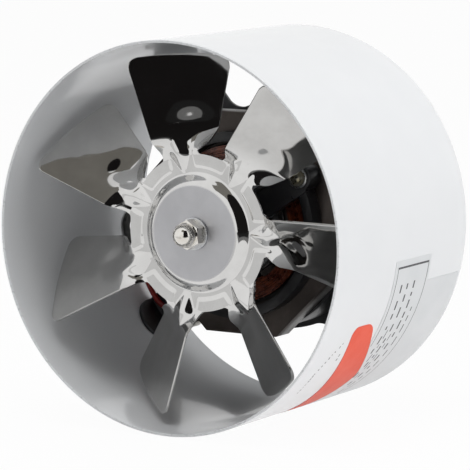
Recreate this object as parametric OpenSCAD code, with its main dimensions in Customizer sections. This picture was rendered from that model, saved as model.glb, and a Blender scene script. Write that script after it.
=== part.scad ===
// Inline duct fan: a painted steel tube with a small induction motor on a four-legged bracket
// and a stamped seven-blade impeller. Millimetres. The fan axis is Y, the impeller faces -Y,
// +Z is up and the origin is on the axis at mid-length of the tube.

/* [Casing] */
// Outside diameter of the tube
casing_d = 148; // [140:1:180]
// Length of the tube
casing_len = 100; // [96:1:140]
// Sheet thickness of the tube
casing_wall = 1; // [0.8:0.1:1.6]

/* [Impeller] */
// Number of blades
blade_count = 7; // [5:1:8]
// Sheet thickness of the impeller
blade_sheet = 0.9; // [0.7:0.1:1.2]
// Gap between the blade tips and the inside of the tube
tip_gap = 3.5; // [2:0.5:6]
// Distance of the hub's front face in front of mid-length
hub_front = 29.5; // [28:0.5:32]
// Radius of the hub's flat front face
plateau_r = 18.6; // [14:0.2:19]
// Height of the raised hub face above the web
plateau_rise = 2.8; // [2:0.2:4]
// Forward lean of the web, degrees
web_lean = 12.5; // [5:0.5:15]
// Radius of the web at the bottom of the notches between blades
web_r = 30; // [28:0.5:31]
// Half width of the neck that carries a blade
neck_half = 7.4; // [6:0.2:8]
// Distance of the leading edge from the blade's centre line
lead_offset = 7; // [6:0.5:8]
// Distance of the trailing edge from the centre line at the blade's root
trail_root = 11.6; // [10:0.2:13]
// Growth of that distance for each millimetre of radius
trail_flare = 0.39; // [0.3:0.01:0.42]
// Pitch of the blade, degrees
blade_pitch = 38.8; // [30:0.2:42]
// Forward lean of the blade along its radius, degrees
blade_lean = 9.3; // [5:0.1:11]
// Height of the stiffening rib on each neck
rib_rise = 1.7; // [0.8:0.1:2]
// Half width of the rib
rib_half = 3.2; // [2:0.1:3.6]
// Corner radius at the blade tips
tip_corner = 3.5; // [2:0.5:5]
// Angle of the first blade's centre line from +X, degrees
blade_start = 104.4; // [0:0.1:360]

/* [Motor] */
// Distance of the lamination stack's front face behind mid-length
motor_setback = 4.5; // [4:0.5:7]
// Outside radius of the rear cup, the motor's main size
rear_bell_r = 42.8; // [40:0.2:45]
// Length of the rear cup
rear_bell_len = 20.5; // [19:0.5:24]
// Wall of the rear cup
rear_bell_wall = 2; // [1.5:0.1:2.5]
// How far the stack's main flats stand out past the cup
stack_proud = 0.2; // [0:0.1:1]
// How much less the stack measures across its corner flats
corner_cut = 3; // [1:0.5:4]
// Length of the lamination stack
stack_len = 10; // [8:0.5:14]
// Depth of the laminations from the main flats to the bore
stack_depth = 23; // [22:0.5:25]
// Air gap between the rotor and the stack
air_gap = 0.5; // [0.3:0.1:0.8]
// Number of stator slots
slot_count = 16; // [12:2:18]
// Width of a stator slot
slot_w = 4.2; // [3:0.2:4.6]
// Diameter of the winding's strand bundle
strand_d = 1.8; // [1.4:0.1:1.9]
// Distance of the end frame's ring in from the cup's outside
front_ring_inset = 6.8; // [6:0.1:7.5]
// Height of the front end frame above the stack
front_bell_len = 8.3; // [7.5:0.1:9]
// Width of an end-frame arm
arm_w = 12; // [9:0.5:13]
// Distance of the motor screws' circle in from the cup's outside
bolt_inset = 6.3; // [5.8:0.1:6.6]
// Angle of the motor screws from the horizontal, degrees
bolt_angle = 34; // [30:1:45]
// Diameter of the motor screws
bolt_d = 4; // [3:0.5:4]

/* [Shaft] */
// Diameter of the shaft in its bushes
shaft_d = 8; // [6:0.5:9]
// Diameter of the threaded end
stud_d = 6; // [5:0.5:6.5]
// Length of a bush
bush_len = 8; // [6:0.5:9]
// Wall of a bush
bush_wall = 3; // [2:0.2:3.4]
// Outside diameter of the nut's washer
nut_washer_d = 12.5; // [11.5:0.5:14]
// Nut across flats
nut_flats = 10; // [9:0.5:11]

/* [Bracket] */
// Sheet thickness of the bracket
bracket_sheet = 1.5; // [1:0.1:2]
// How far the bracket's round plate reaches past the cup
plate_rim = 2.2; // [1:0.2:5]
// Half width of a bracket leg
leg_half = 10; // [8:0.5:11]
// Angle of the first leg from +X, degrees
leg_angle = 40; // [38:1:50]
// Radius of the corner between plate and leg
leg_corner = 8; // [5:0.5:10]
// Length of a foot along the tube
foot_len = 14.5; // [12:0.5:18]

/* [Cable entry] */
// Bore of the cable grommet
grommet_bore = 7; // [5:0.5:8]
// Wall of the grommet's barrel
grommet_wall = 1.5; // [1:0.1:2]
// Angle of the cable entry from +X, degrees
entry_angle = 188; // [180:1:190]
// Distance of the cable entry from the tube's motor end
entry_inset = 12; // [10:0.5:14]

/* [Label] */
// Width of the label along the tube
label_w = 28; // [20:1:34]
// Sweep of the label round the tube, degrees
label_sweep = 66; // [40:1:80]
// Angle of the label's upper edge from +X, degrees
label_top = -6.5; // [-20:0.5:0]
// Distance of the label's rear edge from the tube's motor end
label_inset = 27.5; // [20:0.5:35]
// How much lower the label's rear part starts, degrees
wing_drop = 8; // [4:0.5:12]
// Width of the red field at its upper end
stripe_w = 17.5; // [16:0.5:20]
// Distance by which the red field leans back to its lower end
stripe_lean = 14; // [10:0.5:16]
// Sweep of the red field round the tube, degrees
stripe_sweep = 44; // [40:1:50]

/* [Hidden] */
$fn = 96;

// Clearances: assembled faces, pressed parts, running shaft, end play, holes, moving parts, straps
fit_gap = 0.05;
press_gap = 0.01;
run_gap = 0.03;
end_play = 0.3;
hole_gap = 0.15;
loose_gap = 0.6;
wrap_gap = 0.2;
// How far a cut runs past the faces it opens
past = 1;

casing_r = casing_d / 2;
casing_in_r = casing_r - casing_wall;
casing_rear = -casing_len / 2;
tip_r = casing_in_r - tip_gap;

// Motor, from the cup's radius inwards and from the stack's front face backwards
stack_flats = 2 * (rear_bell_r + stack_proud);
stack_corners = stack_flats - corner_cut;
stack_bore_r = stack_flats / 2 - stack_depth;
rotor_r = stack_bore_r - air_gap;
front_ring_r = rear_bell_r - front_ring_inset;
bolt_circle_r = rear_bell_r - bolt_inset;
bracket_r = rear_bell_r + plate_rim;
stack_front = -motor_setback;
stack_rear = stack_front - stack_len;
front_top = stack_front + front_bell_len;
ring_top = front_top - 1.3;
bell_rear = stack_rear - rear_bell_len;
bell_floor = bell_rear + rear_bell_wall;
bracket_rear = bell_rear - bracket_sheet;
cup_corner = 2;
cup_inner_corner = 1;

shaft_r = shaft_d / 2;
stud_r = stud_d / 2;
bush_r = shaft_r + run_gap + bush_wall;
core_seat_r = shaft_r + 1;
retainer_t = 0.6;
thrust_t = 0.8;
thrust_r = shaft_r + 2.5;
boss_r = bush_r + 6;
boss_lip = 1.5;
boss_edge = 1;
boss_draft = 2.5;
boss_tip_r = boss_r - boss_edge;

// Axial stack-up of the two bearings, front positive
front_bush_rear = stack_front + 5;
front_bush_front = front_bush_rear + bush_len;
front_boss_front = front_bush_front + boss_lip;
front_retainer_rear = front_bush_rear - retainer_t;
front_thrust_rear = front_retainer_rear - end_play - thrust_t;
rear_bush_front = bell_floor;
rear_bush_rear = rear_bush_front - bush_len;
rear_boss_rear = rear_bush_rear - 2 * boss_lip;
rear_retainer_front = bell_floor + retainer_t;
rear_thrust_front = rear_retainer_front + end_play + thrust_t;
shaft_rear = rear_bush_rear - end_play;

// Cast end rings of the rotor
cage_in_r = core_seat_r + 6;
cage_out_r = rotor_r - air_gap;
cage_len = 3.3;

// End frame: arms with raised rims, ears round the screws
arm_t = 2.9;
arm_back = front_top - arm_t;
arm_root = boss_r - 2;
rim_w = 1.5;
rim_rise = 1;

// Impeller heights and the bends of its hub
plateau_back = hub_front - blade_sheet;
web_front = hub_front - plateau_rise;
web_back = web_front - blade_sheet;
base_r = plateau_r + 4.2;
web_edge_front = web_front + (web_r - base_r) * tan(web_lean);
hub_bend = 1.2;
hub_bend_drop = 0.5;
bend_in = 0.4;
web_bend = 0.1;
collar_flange_r = shaft_r + 5;
collar_flange_t = 2;
collar_r = shaft_r + 2.5;
collar_rear = front_boss_front + 2;
stud_root = plateau_back - 0.2;

nut_washer_t = 1;
nut_seat = hub_front + nut_washer_t;
nut_hex_h = 0.45 * nut_flats;
nut_hex_top = nut_seat + nut_hex_h;
nut_dome_r = nut_flats * 0.45;
nut_dome_z = nut_hex_top + 1.2;
stud_front = nut_dome_z + 0.5;

// Motor screws, their washers and nuts, and the ears round them
bolt_r = bolt_d / 2;
bolt_hole_r = bolt_r + hole_gap;
bolt_washer_r = 2 * bolt_r;
bolt_washer_t = 0.8;
bolt_seat = front_top + bolt_washer_t;
bolt_head_r = 1.7 * bolt_r;
bolt_head_h = 1.2 * bolt_r;
bolt_crown_r = 2.2 * bolt_head_r;
bolt_nut_flats = 3.5 * bolt_r;
bolt_nut_h = 1.6 * bolt_r;
bolt_nut_rear = bracket_rear - bolt_nut_h;
bolt_tail = 1.2;
ear_r = bolt_washer_r + 1.2;
bolt_angles = [bolt_angle, 180 + bolt_angle];

// Winding: loops beside each other and in two layers
loop_gap = 0.5;
loop_pitch = strand_d + loop_gap;
loops_per_layer = 4;
ring_wall = 3.8;
coil_gap = 0.4;
front_ring_in = front_ring_r - ring_wall;
coil_room = min(front_ring_in, bolt_circle_r - ear_r);
winding_out = coil_room - coil_gap - strand_d / 2;
winding_in = winding_out - (loops_per_layer - 1) * loop_pitch;
insulator_t = 0.3;
layer_low = stack_front + insulator_t + fit_gap + strand_d / 2;

slot_in = stack_bore_r + 2;
slot_out = winding_out - strand_d / 2;
slot_opening = 2;
slot_liner = 0.35;
insulator_lip = 0.5;
rear_head_len = 9;
rear_head_bevel = 2;
rear_head_front = stack_rear - insulator_t - fit_gap;

foot_out_r = casing_in_r - fit_gap;
foot_in_r = foot_out_r - bracket_sheet;
foot_front = bracket_rear + foot_len;
foot_half = leg_half - 0.4;
bend_inset = 0.2;
leg_end_r = foot_in_r + 0.5;
plate_overlap = 6;
leg_root = bracket_r - plate_overlap;
corner_bite = 0.05;
leg_angles = [for (i = [0:3]) leg_angle + 90 * i];

entry_y = casing_rear + entry_inset;
grommet_r = grommet_bore / 2 + grommet_wall;
grommet_flange_r = grommet_r + 2;
grommet_flange_t = 1.5;
grommet_inset = 0.2;
entry_cut = 10;
// Height of the chord that the flange's flat face makes with the curved wall
entry_flat = sqrt(pow(casing_in_r, 2) - pow(grommet_flange_r, 2)) - fit_gap;
flange_rear = entry_flat - grommet_flange_t;

sticker_t = 0.12;
sticker_gap = 0.01;
film_in_r = casing_r + sticker_gap;
label_rear = casing_rear + label_inset;
label_front = label_rear + label_w;
wing_rear = casing_rear + 1.5;
stripe_front = label_front + 20;
stripe_rear = stripe_front - stripe_w - stripe_lean;
stripe_mid = label_top - 18 - stripe_sweep / 2;
stripe_high = casing_r * sin(stripe_sweep / 2);
stripe_corner = 3;
stripe_bend = 8;
stripe_belly = 11;
belly_low = 4;
film_slit = 0.3;

// Lead wires: distance from the axis, angle from the leg and height of each point of the route.
// They leave the cup, come down on the leg before the strap and turn aside at the tube's wall.
lead_r = 1.1;
lead_hole_z = bell_floor + 6;
lead_leg = leg_angles[2];
lead_lie = bell_rear + lead_r + wrap_gap;
lead_side = 4.2;
lead_end_inset = 6;
tie_w = 2.5;
tie_t = 1;
tie_r = casing_in_r - 13;
lead_down_r = tie_r - tie_w;
lead_drop = lead_down_r - rear_bell_r;
lead_fall = lead_lie - lead_hole_z;
lead_end_r = casing_in_r - lead_end_inset;
lead_stops = [
  [rear_bell_r - 2 * rear_bell_wall, 0, lead_hole_z],
  [rear_bell_r + 0.07 * lead_drop, 0, lead_hole_z],
  [rear_bell_r + 0.4 * lead_drop, 0, lead_hole_z + 0.25 * lead_fall],
  [rear_bell_r + 0.7 * lead_drop, 0, lead_hole_z + 0.75 * lead_fall],
  [lead_down_r, 0, lead_lie],
  [tie_r + tie_w / 2, 0, lead_lie],
  [lead_end_r - lead_end_inset / 2, -1.5, lead_lie],
  [lead_end_r - lead_r / 2, -5.5, lead_lie],
  [lead_end_r, -10, lead_lie],
  [lead_end_r, -13, lead_lie]
];
lead_straight = 5;
cap_len = 9;
cap_grip = 2;
cap_r = 1.9;
cap_gap = 0.3;

// Turns a piece that is drawn about Z, front upwards, into the fan's own frame
module face_front() {
  rotate([90, 0, 0]) children();
}

// Round tube from z0 to z1
module tube(r_in, r_out, z0, z1) {
  translate([0, 0, z0]) difference() {
    cylinder(r = r_out, h = z1 - z0);
    translate([0, 0, -past]) cylinder(r = r_in, h = z1 - z0 + 2 * past);
  }
}

// Round bar from z0 to z1
module bar(r, z0, z1) {
  translate([0, 0, z0]) cylinder(r = r, h = z1 - z0);
}

// Copies its children to each motor screw
module at_bolts() {
  for (a = bolt_angles) rotate(a) translate([bolt_circle_r, 0, 0]) children();
}

// Hexagonal prism across flats
module hexagon(flats, z0, z1) {
  translate([0, 0, z0]) cylinder(r = flats / sqrt(3), h = z1 - z0, $fn = 6);
}

// Smooth step from 0 at a to 1 at b
function ramp(a, b, x) = let (t = max(0, min(1, (x - a) / (b - a)))) t * t * (3 - 2 * t);

// Closed solid from rings of points of equal count
function ring_faces(rings, sides) = concat(
  [for (i = [0:rings - 2], j = [0:sides - 1])
    [i * sides + j, (i + 1) * sides + j, i * sides + (j + 1) % sides]],
  [for (i = [0:rings - 2], j = [0:sides - 1])
    [(i + 1) * sides + j, (i + 1) * sides + (j + 1) % sides, i * sides + (j + 1) % sides]],
  [for (j = [1:sides - 2]) [0, j, j + 1]],
  [for (j = [1:sides - 2]) let (e = (rings - 1) * sides) [e, e + j + 1, e + j]]);

function unit(v) = v / norm(v);
function tangent(path, i) = unit(path[min(i + 1, len(path) - 1)] - path[max(i - 1, 0)]);

// Round tube of radius r swept along a path that never runs along Z
module swept(path, r, sides) {
  points = [for (i = [0:len(path) - 1])
    let (t = tangent(path, i), n = unit(cross(t, [0, 0, 1])), b = cross(t, n))
    for (j = [0:sides - 1]) let (a = 360 * j / sides) path[i] + r * (n * cos(a) + b * sin(a))];
  polyhedron(points, ring_faces(len(path), sides));
}

// Rolled and welded sheet tube with the cable hole
module casing() color("white") face_front() difference() {
  tube(casing_in_r, casing_r, casing_rear, -casing_rear);
  at_entry() translate([0, 0, casing_in_r - entry_cut / 2]) cylinder(r = grommet_r + fit_gap, h = entry_cut);
}

// Points local Z outwards through the cable entry
module at_entry() {
  rotate(entry_angle) translate([0, 0, entry_y]) rotate([0, 90, 0]) children();
}

// Push-in bush, flush outside, with its flange against the inside of the tube
module cable_grommet() color("dimgray") face_front() at_entry() difference() {
  union() {
    translate([0, 0, flange_rear]) cylinder(r = grommet_flange_r, h = grommet_flange_t);
    translate([0, 0, flange_rear]) cylinder(r = grommet_r, h = casing_r - grommet_inset - flange_rear);
  }
  translate([0, 0, flange_rear - past]) cylinder(r = grommet_bore / 2, h = entry_cut);
}

// Thin patch on the outside of the tube
module sticker(z0, z1, top, sweep) {
  rotate(top - sweep) rotate_extrude(angle = sweep)
    translate([film_in_r, z0]) square([sticker_t, z1 - z0]);
}

// Block through the tube's wall with the red field's outline, larger by the margin
module stripe_block(margin) {
  rotate(stripe_mid) rotate([0, 90, 0]) rotate(180) linear_extrude(2 * casing_r) hull() {
    translate([stripe_front - stripe_corner, stripe_corner - stripe_high]) circle(stripe_corner + margin);
    translate([stripe_front - stripe_w + stripe_bend, stripe_bend - stripe_high])
      circle(stripe_bend + margin);
    translate([stripe_rear + stripe_belly, belly_low]) circle(stripe_belly + margin);
    translate([stripe_front - stripe_lean - stripe_bend, stripe_high - stripe_bend])
      circle(stripe_bend + margin);
  }
}

// Printed film on the side of the tube, with a lower part to the motor end, cut out round the red field
module label_sheet() color("gainsboro") face_front() difference() {
  union() {
    sticker(label_rear, label_front, label_top, label_sweep);
    sticker(wing_rear, label_rear + past, label_top - wing_drop, label_sweep - wing_drop);
  }
  stripe_block(film_slit);
}

// Red film in front of the label
module label_stripe() color("tomato") face_front() intersection() {
  tube(film_in_r, film_in_r + sticker_t, stripe_rear, stripe_front);
  stripe_block(0);
}

// Rounds the inside corner between the round plate and one edge of a leg along +X
module leg_fillet() {
  side = leg_half + leg_corner - corner_bite;
  run = sqrt(pow(bracket_r + leg_corner - corner_bite, 2) - side * side);
  difference() {
    polygon([
      [leg_root, 0], [run, side] * bracket_r / (bracket_r + leg_corner), [run, side],
      [run, leg_half - corner_bite], [run, 0]]);
    translate([run, side]) circle(leg_corner);
  }
}

// Pressed plate: round centre, four legs and feet bent along the tube's wall
module motor_bracket() color([0.09, 0.09, 0.1]) face_front() {
  translate([0, 0, bracket_rear]) linear_extrude(bracket_sheet) difference() {
    union() {
      circle(bracket_r);
      for (a = leg_angles) rotate(a) {
        translate([leg_root, -leg_half]) square([leg_end_r - leg_root, 2 * leg_half]);
        leg_fillet();
        mirror([0, 1]) leg_fillet();
      }
    }
    circle(boss_r + hole_gap);
    at_bolts() circle(bolt_hole_r);
  }
  for (a = leg_angles) rotate(a) foot();
}

// Foot of a leg along +X: a curved strip with a round end
module foot() intersection() {
  tube(foot_in_r, foot_out_r, bracket_rear + bend_inset, foot_front);
  rotate([0, 90, 0]) rotate(180) linear_extrude(casing_r) {
    translate([bracket_rear, -foot_half]) square([foot_len - foot_half, 2 * foot_half]);
    translate([foot_front - foot_half, 0]) circle(foot_half);
  }
}

// Deep-drawn cup behind the stack with the rear bearing boss
module rear_bell() color([0.1, 0.1, 0.11]) face_front() difference() {
  cup_in_r = rear_bell_r - rear_bell_wall;
  rotate_extrude() polygon([
    [0, rear_boss_rear], [boss_r - boss_edge, rear_boss_rear], [boss_r, rear_boss_rear + boss_edge],
    [boss_r, bell_rear], [rear_bell_r - cup_corner, bell_rear], [rear_bell_r, bell_rear + cup_corner],
    [rear_bell_r, stack_rear], [cup_in_r, stack_rear], [cup_in_r, bell_floor + cup_inner_corner],
    [cup_in_r - cup_inner_corner, bell_floor], [0, bell_floor]]);
  bar(bush_r + fit_gap, rear_bush_rear, bell_floor + past);
  bar(shaft_r + loose_gap, rear_bush_rear - boss_lip, bell_floor);
  at_bolts() bar(bolt_hole_r, bell_rear - past, bell_floor + past);
  for (i = [-1, 1]) rotate(lead_leg) translate([0, i * lead_side / 2, lead_hole_z])
    rotate([0, 90, 0]) cylinder(r = lead_r + hole_gap, h = rear_bell_r + past);
}

// Cast end frame: ring on the stack, two ribbed arms and the front bearing boss
module front_bell() color([0.08, 0.08, 0.09]) face_front() difference() {
  union() {
    tube(front_ring_in, front_ring_r, stack_front, ring_top);
    at_bolts() bar(ear_r, stack_front, front_top);
    for (a = bolt_angles) rotate(a) {
      translate([arm_root, -arm_w / 2, arm_back]) cube([bolt_circle_r - arm_root, arm_w, arm_t]);
      for (s = [-1, 1]) translate([arm_root, s * (arm_w - rim_w) / 2 - rim_w / 2, arm_back])
        cube([bolt_circle_r - ear_r - arm_root - rim_rise, rim_w, arm_t + rim_rise]);
    }
    translate([0, 0, front_bush_rear])
      cylinder(r1 = boss_tip_r + boss_draft, r2 = boss_tip_r, h = front_boss_front - front_bush_rear);
  }
  bar(bush_r + fit_gap, front_bush_rear - past, front_bush_front);
  bar(shaft_r + loose_gap, front_bush_rear, front_boss_front + past);
  at_bolts() bar(bolt_hole_r, stack_front - past, front_top + past);
}

// Outline of a stator slot along +X, smaller by the given margin
module slot_outline(margin) {
  translate([slot_in, -slot_w / 2 + margin]) square([slot_out - slot_w / 2 - slot_in, slot_w - 2 * margin]);
  translate([slot_out - slot_w / 2, 0]) circle(slot_w / 2 - margin);
}

// Octagonal lamination stack with its slots, bore and screw holes
module stator_core() color([0.36, 0.33, 0.3]) face_front()
  translate([0, 0, stack_rear]) linear_extrude(stack_len) difference() {
    intersection() {
      square(stack_flats, center = true);
      rotate(45) square(stack_corners, center = true);
    }
    circle(stack_bore_r);
    for (i = [0:slot_count - 1]) rotate(360 * i / slot_count) {
      slot_outline(0);
      translate([stack_bore_r - past, -slot_opening / 2])
        square([slot_in - stack_bore_r + 2 * past, slot_opening]);
    }
    at_bolts() circle(bolt_hole_r);
  }

// Fibre ring between the stack and the front coil ends
module front_insulator() color("black") face_front()
  tube(slot_in + insulator_lip, coil_room - wrap_gap, stack_front, stack_front + insulator_t);

// Fibre ring with cut-outs for the conductors
module rear_insulator() color("black") face_front()
  translate([0, 0, stack_rear - insulator_t]) linear_extrude(insulator_t) difference() {
    circle(front_ring_in);
    circle(slot_in - insulator_lip);
    for (i = [0:slot_count - 1]) rotate(360 * i / slot_count) slot_outline(slot_liner / 2);
  }

// Path of the front coil ends: loops spiral in on the lower layer and out on the upper one
turn_steps = 24;
loop_steps = turn_steps * (loops_per_layer - 1);
climb_steps = turn_steps / 2;
winding_path = concat(
  [for (i = [0:loop_steps])
    winding_point(winding_out - loop_pitch * i / turn_steps, 360 * i / turn_steps, layer_low)],
  [for (i = [1:climb_steps - 1])
    winding_point(winding_in - loop_pitch * min(i, climb_steps - i) / turn_steps,
      360 * (loop_steps + i) / turn_steps, layer_low + loop_pitch * ramp(0, climb_steps, i))],
  [for (i = [0:loop_steps])
    winding_point(winding_in + loop_pitch * i / turn_steps,
      360 * (loop_steps + climb_steps + i) / turn_steps, layer_low + loop_pitch)]);
function winding_point(r, a, z) = [r * cos(a), r * sin(a), z];

// Least gap between a strand and the next loop of the same path, measured on the points
winding_gap = min([for (i = [0:len(winding_path) - 1])
  for (j = [i + climb_steps:len(winding_path) - 1]) norm(winding_path[i] - winding_path[j])]) - strand_d;
echo(winding_gap = winding_gap);

module front_winding() color([0.45, 0.16, 0.06]) face_front() swept(winding_path, strand_d / 2, 6);

// Conductors in the slots and the coil ends at the back, inside the cup
module rear_winding() color([0.45, 0.16, 0.06]) face_front() {
  head_in = slot_in + slot_liner;
  head_out = slot_out - slot_liner;
  translate([0, 0, rear_head_front - past]) linear_extrude(stack_front - fit_gap - rear_head_front + past)
    for (i = [0:slot_count - 1]) rotate(360 * i / slot_count) slot_outline(slot_liner);
  rotate_extrude() translate([0, rear_head_front - rear_head_len]) difference() {
    translate([head_in, 0]) square([head_out - head_in, rear_head_len]);
    for (r = [head_in, head_out]) translate([r, 0]) rotate(45) square(rear_head_bevel, center = true);
  }
}

module front_bush() color([0.72, 0.55, 0.3]) face_front()
  tube(shaft_r + run_gap, bush_r, front_bush_rear, front_bush_front);

module rear_bush() color([0.72, 0.55, 0.3]) face_front()
  tube(shaft_r + run_gap, bush_r, rear_bush_rear, rear_bush_front);

module front_bush_retainer() color("silver") face_front()
  tube(shaft_r + loose_gap, boss_tip_r, front_retainer_rear, front_bush_rear);

module rear_bush_retainer() color("silver") face_front()
  tube(shaft_r + loose_gap, boss_tip_r, bell_floor, rear_retainer_front);

// Pan-head screws through end frame, stack, cup and bracket
module through_bolts() color([0.75, 0.7, 0.55]) face_front() at_bolts() {
  bar(bolt_r, bolt_nut_rear - bolt_tail, bolt_seat + corner_bite);
  translate([0, 0, bolt_seat]) rotate_extrude() intersection() {
    square([bolt_head_r, bolt_head_h]);
    translate([0, bolt_head_h - bolt_crown_r]) circle(bolt_crown_r);
  }
}

module bolt_washers() color("silver") face_front() at_bolts()
  tube(bolt_hole_r, bolt_washer_r, front_top, bolt_seat);

module bolt_nuts() color("silver") face_front() at_bolts() difference() {
  hexagon(bolt_nut_flats, bolt_nut_rear, bracket_rear);
  bar(bolt_r + fit_gap, bolt_nut_rear - past, bracket_rear + past);
}

// Smooth curve through the stops of the route
function lead_stop(s) = let (a = lead_leg + s[1]) [s[0] * cos(a), s[0] * sin(a), s[2]];
function curve_point(p0, p1, p2, p3, t) = 0.5 * (2 * p1 + (p2 - p0) * t
  + (2 * p0 - 5 * p1 + 4 * p2 - p3) * t * t + (3 * p1 - p0 - 3 * p2 + p3) * t * t * t);
lead_centre = let (p = [for (s = lead_stops) lead_stop(s)], n = len(p))
  concat([for (i = [0:n - 2], t = [0, 0.5])
    curve_point(p[max(i - 1, 0)], p[i], p[i + 1], p[min(i + 2, n - 1)], t)],
    [p[n - 1], p[n - 1] + unit(p[n - 1] - p[n - 2]) * lead_straight]);

// One lead, to the given side of the route's centre
function lead_path(side) = [for (i = [0:len(lead_centre) - 1])
  lead_centre[i] + side * unit(cross(tangent(lead_centre, i), [0, 0, 1]))];

module lead_wires() color("firebrick") face_front()
  for (side = [-1, 1]) swept(lead_path(side * lead_side / 2), lead_r, 8);

// Closed-end crimp over the last stretch of each lead
module splice_caps() color("ivory") face_front() for (side = [-1, 1]) {
  path = lead_path(side * lead_side / 2);
  last = path[len(path) - 1];
  along = tangent(path, len(path) - 1);
  turn = [0, 90 - asin(along[2]), atan2(along[1], along[0])];
  translate(last) rotate(turn) difference() {
    union() {
      translate([0, 0, -cap_grip]) cylinder(r = cap_r, h = cap_len - cap_r);
      translate([0, 0, cap_len - cap_r - cap_grip]) sphere(cap_r);
    }
    translate([0, 0, -cap_grip - past]) cylinder(r = lead_r + cap_gap, h = cap_grip + past + cap_gap);
  }
}

// Strap round the leg and both leads
module lead_tie() color("ivory") face_front() rotate(lead_leg)
  translate([tie_r - tie_w / 2, 0, 0]) rotate([90, 0, 90]) linear_extrude(tie_w) difference() {
    tie_outline(tie_t);
    tie_outline(0);
  }

// Inside line of the strap, grown by the given thickness
module tie_outline(grow) {
  low = bracket_rear - wrap_gap - grow;
  high = lead_lie + lead_r + wrap_gap + grow;
  half = leg_half + wrap_gap + grow;
  translate([-half, low]) square([2 * half, high - low]);
}

// Turned steel shaft: bearing journals, rotor seat and threaded end
module shaft() color("silver") face_front() {
  bar(shaft_r, shaft_rear, stud_root);
  bar(core_seat_r, rear_thrust_front, front_thrust_rear);
  bar(stud_r, stud_root - past, stud_front);
}

module rotor_core() color([0.36, 0.33, 0.3]) face_front()
  tube(core_seat_r, rotor_r, stack_rear, stack_front);

// Cast end rings on both ends of the rotor
module rotor_cage() color([0.75, 0.76, 0.78]) face_front() {
  tube(cage_in_r, cage_out_r, stack_front, stack_front + cage_len);
  tube(cage_in_r, cage_out_r, stack_rear - cage_len, stack_rear);
}

module thrust_washers() color("ivory") face_front() {
  tube(shaft_r + fit_gap, thrust_r, front_thrust_rear, front_thrust_rear + thrust_t);
  tube(shaft_r + fit_gap, thrust_r, rear_thrust_front - thrust_t, rear_thrust_front);
}

// Flanged sleeve pressed on the shaft behind the impeller
module impeller_collar() color("silver") face_front() difference() {
  union() {
    bar(collar_r, collar_rear, plateau_back);
    bar(collar_flange_r, plateau_back - collar_flange_t, plateau_back);
  }
  bar(shaft_r + press_gap, collar_rear - past, plateau_back + past);
}

// Half width of a blade's leading and trailing side at distance u from the axis
neck_end = web_r - 0.3;
flare_end = neck_end + 3.5;
root_fillet = 3;
fillet_start = web_r - 4;
function lead_v(u) = neck_half + (lead_offset - neck_half) * ramp(neck_end, flare_end, u)
  + root_fillet * (1 - ramp(fillet_start, neck_end + 0.8, u));
function trail_v(u) = neck_half + root_fillet * (1 - ramp(fillet_start, neck_end, u))
  + (trail_root + trail_flare * max(0, u - flare_end + 1) - neck_half) * ramp(neck_end - 0.3, flare_end, u);

// Height of the sheet's mid surface: coned web, twisted neck, pitched blade, rib on the neck
twist_start = web_r - 0.5;
twist_end = web_r + 8;
rib_start = base_r;
rib_full = rib_start + 2;
rib_end = web_r + 7.5;
rib_fade = rib_end - 6;
rib_narrow = 0.7;
function cone_z(r, lean) = web_front - blade_sheet / 2 + (r - base_r) * tan(lean);
function sheet_z(u, v) =
  let (w = ramp(twist_start, twist_end, u),
    blade = cone_z(u, blade_lean) + v * tan(blade_pitch),
    taper = rib_half * (1 - rib_narrow * ramp(web_r - 2, rib_end, u)),
    ridge = ramp(rib_start, rib_full, u) * (1 - ramp(rib_fade, rib_end, u)),
    rib = rib_rise * ridge * max(0, 1 - abs(v) / taper))
  cone_z(norm([u, v]), web_lean) * (1 - w) + blade * w + rib;

// Outer end of the sheet at lateral place v: arc of the tip with rounded corners
tip_lean = 3.5;
function tip_u(v, v0, v1) =
  let (b = (v - v0) / (v1 - v0), r = tip_r - tip_lean * (1 - b), d = min(v - v0, v1 - v),
    cut = d < tip_corner ? tip_corner - sqrt(max(0, pow(tip_corner, 2) - pow(tip_corner - d, 2))) : 0)
  sqrt(r * r - v * v) - cut;

// Places of the grid lines: share of the width, and distance from the axis
neck_start = base_r + 0.6;
neck_steps = 11;
across = [0, 0.04, 0.12, 0.25, 0.37, 0.44, 0.5, 0.56, 0.63, 0.75, 0.88, 0.96, 1];
along_neck = [for (i = [0:neck_steps]) neck_start + (twist_end + 1 - neck_start) * i / neck_steps];
along_blade = [0.3, 0.62, 0.88, 1];
tip_trail = trail_v(tip_r - 7);

// Point of the mid surface on grid line i along and j across
function sheet_uv(i, j) =
  let (b = across[j], n = len(along_neck), last = along_neck[n - 1])
  i < n ? let (u = along_neck[i]) [u, -trail_v(u) + (lead_v(u) + trail_v(u)) * b]
  : let (v_tip = -tip_trail + (lead_offset + tip_trail) * b,
      u_tip = tip_u(v_tip, -tip_trail, lead_offset),
      u = last + (u_tip - last) * along_blade[i - n])
    [u, -trail_v(u) + (lead_v(u) + trail_v(u)) * b];

// Point on the sheet's front (side 1) or back (side -1), a little proud of the web on the neck
neck_proud = 0.06;
probe = 0.05;
function lift(p, side) =
  let (half = blade_sheet / 2 + neck_proud * (1 - ramp(twist_start, twist_end, p[0])),
    dx = (sheet_z(p[0] + probe, p[1]) - sheet_z(p[0] - probe, p[1])) / (2 * probe),
    dy = (sheet_z(p[0], p[1] + probe) - sheet_z(p[0], p[1] - probe)) / (2 * probe))
  [p[0], p[1], sheet_z(p[0], p[1])] + side * half * unit([-dx, -dy, 1]);

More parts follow.
